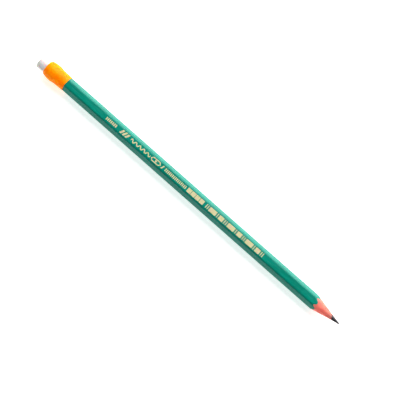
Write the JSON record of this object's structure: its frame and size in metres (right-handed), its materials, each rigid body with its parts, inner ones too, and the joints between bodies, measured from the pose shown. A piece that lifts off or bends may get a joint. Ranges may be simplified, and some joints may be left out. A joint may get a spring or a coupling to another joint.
{
  "type": "graphite pencil",
  "caption": "Six-sided resin-cased graphite pencil with a sharpened point, a domed moulded collar and a plug eraser.",
  "frame": {"origin": "under the middle of the pencil's length, at the height of its lowest point, the collar's bulge", "axes": "+X along the pencil towards the point, +Z out of the flat that carries the foil marks"},
  "size_m": [0.19, 0.0088, 0.0088],
  "materials": {
    "lead": "graphite sheen",
    "core_resin": "matte, cut",
    "skin_resin": "glossy",
    "collar_plastic": "glossy",
    "eraser_vinyl": "matte",
    "gold_foil": "hot-stamped foil"
  },
  "bodies": {
    "root": {"graphite_lead": "lead", "resin_core": "core_resin", "green_skin": "skin_resin", "collar": "collar_plastic", "eraser": "eraser_vinyl", "foil_short_dashes": "gold_foil", "foil_slant_bars": "gold_foil", "foil_wave": "gold_foil", "foil_badge": "gold_foil", "foil_slash": "gold_foil", "foil_fine_dashes": "gold_foil", "foil_panel": "gold_foil", "foil_stripes": "gold_foil"}
  },
  "joints": []
}
